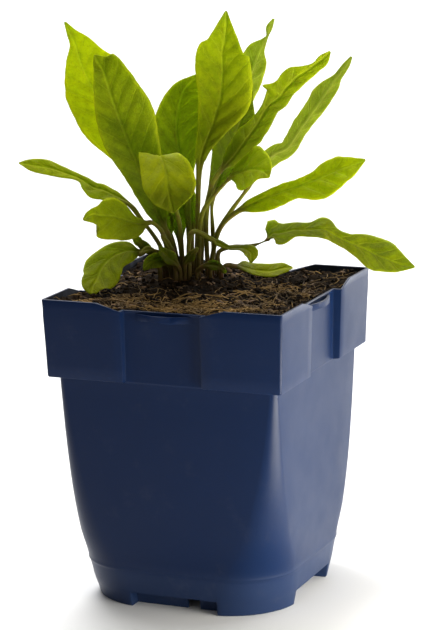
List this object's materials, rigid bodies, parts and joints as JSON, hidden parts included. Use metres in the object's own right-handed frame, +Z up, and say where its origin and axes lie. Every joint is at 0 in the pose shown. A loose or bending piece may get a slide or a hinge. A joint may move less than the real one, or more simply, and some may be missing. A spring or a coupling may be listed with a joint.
{
  "type": "potted garden plant",
  "caption": "Young leafy perennial in a square nursery pot: a basal rosette of upright and arching stalked leaves standing in potting soil, with drain holes and foot slots under the pot.",
  "frame": {"origin": "centre of the bounding box at its bottom, on the ground plane that the pot stands on", "axes": "+Z up, along the longest extent; the pot's straight sides face -X, +X, -Y and +Y; the side the picture sees most of faces -Y"},
  "size_m": [0.1606, 0.1226, 0.2532],
  "materials": {
    "pot": "satin",
    "potting_soil": "matte",
    "leaf": "satin"
  },
  "bodies": {
    "root": {"pot": "pot", "potting_soil": "potting_soil", "leaf_upper_left_back": "leaf", "leaf_upper_left_front": "leaf", "leaf_centre_tall": "leaf", "leaf_centre_back": "leaf", "leaf_right_back_pale": "leaf", "leaf_right_folded": "leaf", "leaf_right_long_pale": "leaf", "leaf_right_inner": "leaf", "leaf_right_small": "leaf", "leaf_right_low_bright": "leaf", "leaf_right_drooping": "leaf", "leaf_front_right_small": "leaf", "leaf_soil_flat": "leaf", "leaf_front_arching": "leaf", "leaf_left_long": "leaf", "leaf_left_broad": "leaf", "leaf_front_left_drooping": "leaf", "leaflet_left": "leaf", "leaflet_front": "leaf"}
  },
  "joints": []
}
